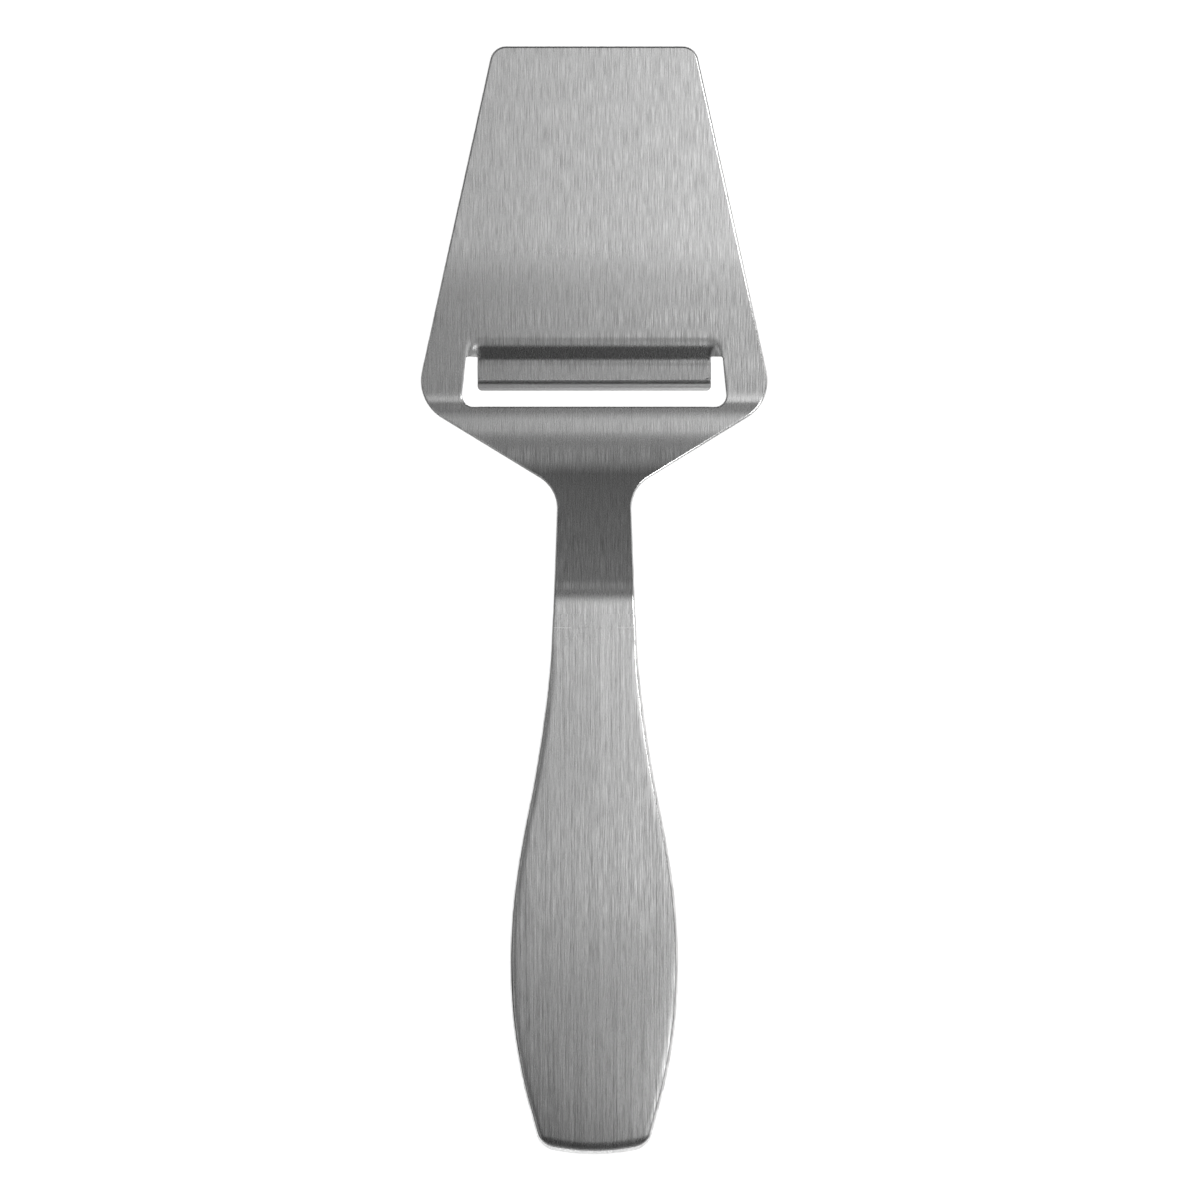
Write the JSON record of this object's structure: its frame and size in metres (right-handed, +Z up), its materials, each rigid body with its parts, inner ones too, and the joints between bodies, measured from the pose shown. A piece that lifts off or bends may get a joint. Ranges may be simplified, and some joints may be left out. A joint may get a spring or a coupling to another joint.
{
  "type": "cheese slicer",
  "caption": "All-steel hand cheese slicer: flared plate with a bent-down slot blade, sloping neck and hollow welded handle.",
  "frame": {"origin": "on the table, under the centre of the tool's bounding box as it lies at rest on its blade edge and heel", "axes": "+Y along the tool towards the plate's tip, +Z up out of the plate's top face, +X to the right; x = 0 is the plane of symmetry"},
  "size_m": [0.0768, 0.245, 0.0168],
  "materials": {
    "plate_steel": "matt, fine lengthwise brush grain, bright-ground bevel at the blade edge",
    "handle_steel": "matt, lengthwise brush grain, a little coarser than on the plate",
    "weld_steel": "weld metal ground flush and brushed with the pieces it joins",
    "inner_weld_steel": "as welded, out of sight inside the handle"
  },
  "bodies": {
    "root": {"slicing_plate": "plate_steel", "handle_upper_shell": "handle_steel", "handle_lower_shell": "handle_steel", "handle_seam_weld": "weld_steel", "mouth_weld": "weld_steel", "tang_plug_welds": "inner_weld_steel"}
  },
  "joints": []
}
